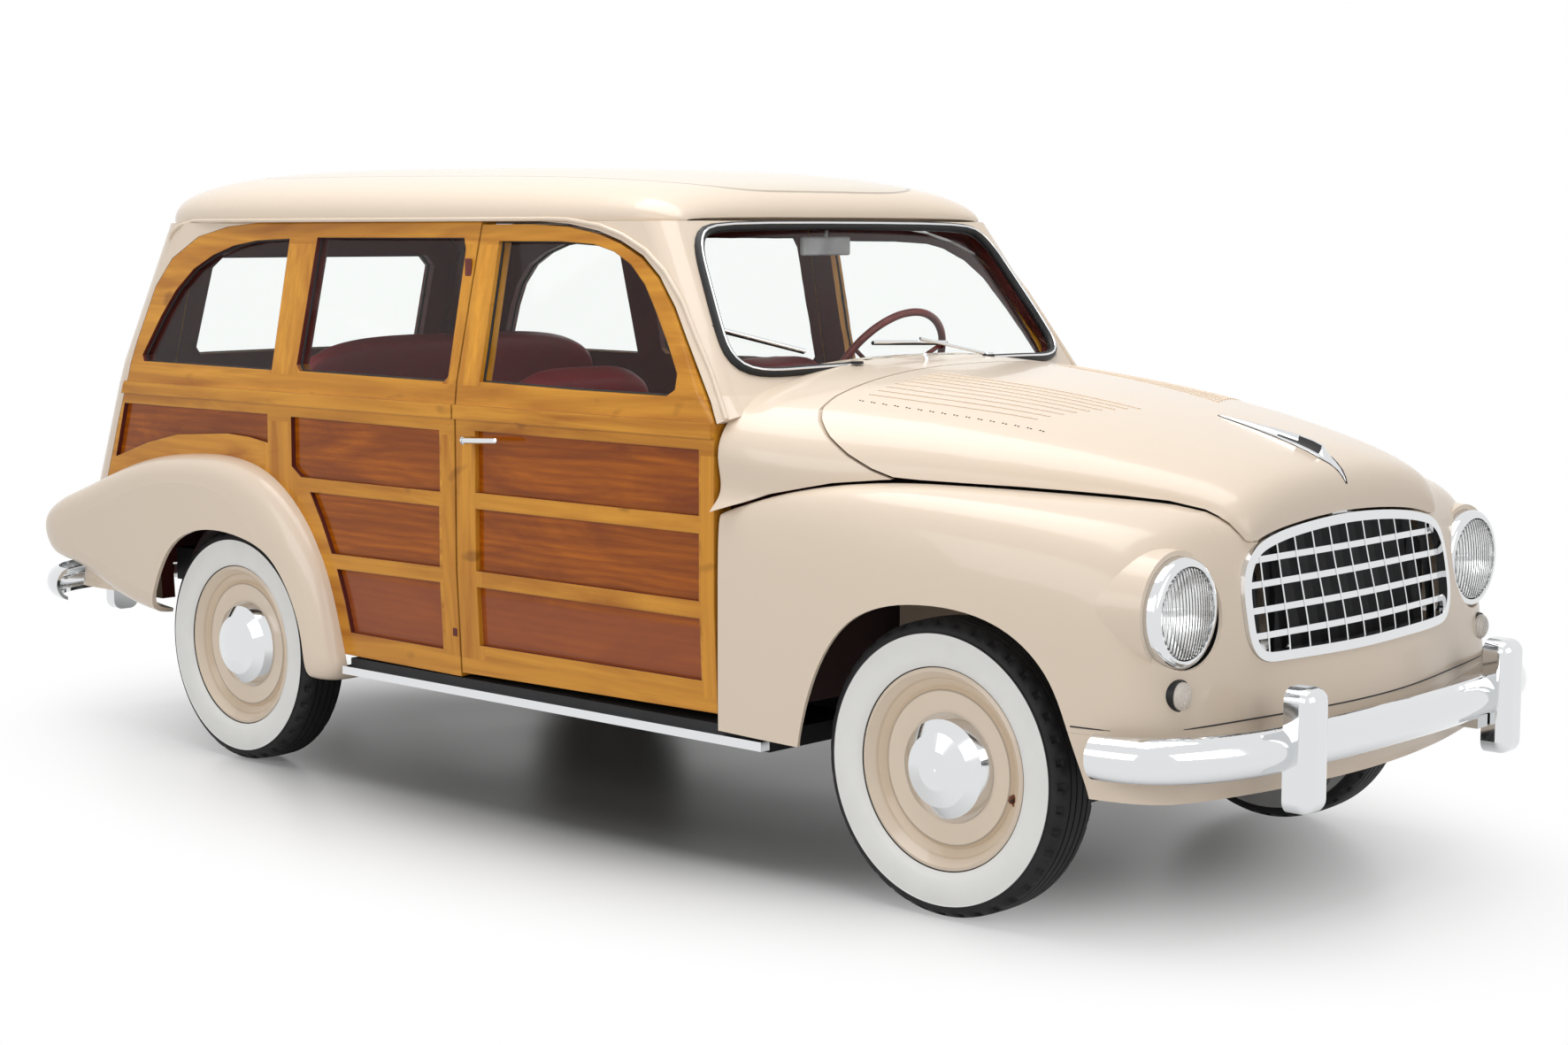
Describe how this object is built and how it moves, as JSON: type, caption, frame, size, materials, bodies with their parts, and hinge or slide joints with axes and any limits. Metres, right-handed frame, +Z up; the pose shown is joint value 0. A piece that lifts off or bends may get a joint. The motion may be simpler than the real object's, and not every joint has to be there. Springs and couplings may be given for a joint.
{
  "type": "station wagon",
  "caption": "Two-door station wagon with a wood-framed body, opening bonnet and rear hatch, steered front wheels and rolling wheels.",
  "frame": {"origin": "on the ground under the middle of the car, half way between the bumper faces", "axes": "+X forward, +Y to the car's left, +Z up"},
  "size_m": [4.2303, 1.5568, 1.596],
  "materials": {
    "body_paint": "gloss cream enamel",
    "black_metal": "satin black",
    "trim_red": "maroon",
    "wood_board": "lacquered mahogany",
    "wood_frame": "lacquered ash",
    "glass": "clear",
    "chrome": "polished",
    "engine": "painted",
    "floor": "satin",
    "leather": "pleated red",
    "lamp_glass": "fluted",
    "red_plastic": "dark red",
    "tail_lens": "red lens",
    "tyre": "matt with white walls",
    "wheel_paint": "gloss"
  },
  "bodies": {
    "body": {"chassis_frame": "black_metal", "dashboard": "trim_red", "engine_block": "engine", "exhaust": "black_metal", "floor_pan": "floor", "front_apron": "body_paint", "front_bumper": "chrome", "front_fenders": "body_paint", "front_seats": "leather", "grille": "chrome", "headlamp_rings": "chrome", "interior_mirror": "chrome", "lamp_glasses": "lamp_glass", "nose_panel": "body_paint", "radiator": "black_metal", "rear_axle": "black_metal", "rear_bumper": "chrome", "rear_fenders": "body_paint", "rear_seat": "leather", "roof": "body_paint", "scuttle": "body_paint", "seat_frames": "trim_red", "side_boards": "wood_board", "side_frames": "wood_frame", "side_glass": "glass", "sill_strips": "chrome", "sills": "body_paint", "steering_column": "trim_red", "tail_lamps": "tail_lens", "tail_shell": "body_paint", "windscreen": "glass", "windscreen_frame": "body_paint", "wipers": "chrome"},
    "door_left": {"door_boards_left": "wood_board", "door_frame_left": "wood_frame", "door_glass_left": "glass", "door_handle_left": "chrome"},
    "door_right": {"door_boards_right": "wood_board", "door_frame_right": "wood_frame", "door_glass_right": "glass", "door_handle_right": "chrome"},
    "bonnet": {"bonnet": "body_paint"},
    "hatch": {"hatch_boards": "wood_board", "hatch_frame": "wood_frame", "hatch_glass": "glass"},
    "steering_wheel": {"steering_wheel": "red_plastic"},
    "knuckle_left": {"knuckle_left": "black_metal"},
    "knuckle_right": {"knuckle_right": "black_metal"},
    "wheel_front_left": {"hubcap_front_left": "chrome", "tyre_front_left": "tyre", "wheel_front_left": "wheel_paint"},
    "wheel_front_right": {"hubcap_front_right": "chrome", "tyre_front_right": "tyre", "wheel_front_right": "wheel_paint"},
    "wheel_rear_left": {"hubcap_rear_left": "chrome", "tyre_rear_left": "tyre", "wheel_rear_left": "wheel_paint"},
    "wheel_rear_right": {"hubcap_rear_right": "chrome", "tyre_rear_right": "tyre", "wheel_rear_right": "wheel_paint"}
  },
  "joints": [
    {"name": "steer_right", "type": "hinge", "parent": "body", "child": "knuckle_right", "pos_m": [1.37, -0.52, 0.314], "axis": [0, 0, 1], "range_deg": [-28, 28]},
    {"name": "steer_left", "type": "hinge", "parent": "body", "child": "knuckle_left", "pos_m": [1.37, 0.52, 0.314], "axis": [0, 0, 1], "range_deg": [-28, 28]},
    {"name": "steering_turn", "type": "hinge", "parent": "body", "child": "steering_wheel", "pos_m": [0.33, 0.345, 1.04], "axis": [-0.8625, 0, 0.5061], "range_deg": [-350, 350]},
    {"name": "spin_front_left", "type": "hinge", "parent": "knuckle_left", "child": "wheel_front_left", "pos_m": [1.37, 0.628, 0.314], "axis": [0, 1, 0], "continuous": true},
    {"name": "spin_front_right", "type": "hinge", "parent": "knuckle_right", "child": "wheel_front_right", "pos_m": [1.37, -0.628, 0.314], "axis": [0, 1, 0], "continuous": true},
    {"name": "spin_rear_left", "type": "hinge", "parent": "body", "child": "wheel_rear_left", "pos_m": [-1.05, 0.655, 0.314], "axis": [0, 1, 0], "continuous": true},
    {"name": "spin_rear_right", "type": "hinge", "parent": "body", "child": "wheel_rear_right", "pos_m": [-1.05, -0.655, 0.314], "axis": [0, 1, 0], "continuous": true},
    {"name": "door_right_hinge", "type": "hinge", "parent": "body", "child": "door_right", "pos_m": [0.737, -0.716, 0.7], "axis": [0, 0, 1], "range_deg": [0, 62]},
    {"name": "door_left_hinge", "type": "hinge", "parent": "body", "child": "door_left", "pos_m": [0.737, 0.716, 0.7], "axis": [0, 0, -1], "range_deg": [0, 62]},
    {"name": "bonnet_hinge", "type": "hinge", "parent": "body", "child": "bonnet", "pos_m": [0.921, 0, 1.128], "axis": [0, -1, 0], "range_deg": [0, 50]},
    {"name": "hatch_hinge", "type": "hinge", "parent": "body", "child": "hatch", "pos_m": [-1.622, 0, 1.429], "axis": [0, 1, 0], "range_deg": [0, 75]}
  ],
  "couplings": [
    {"joint": "steer_left", "follows": "steer_right", "ratio": 1},
    {"joint": "steering_turn", "follows": "steer_right", "ratio": 12.5}
  ]
}
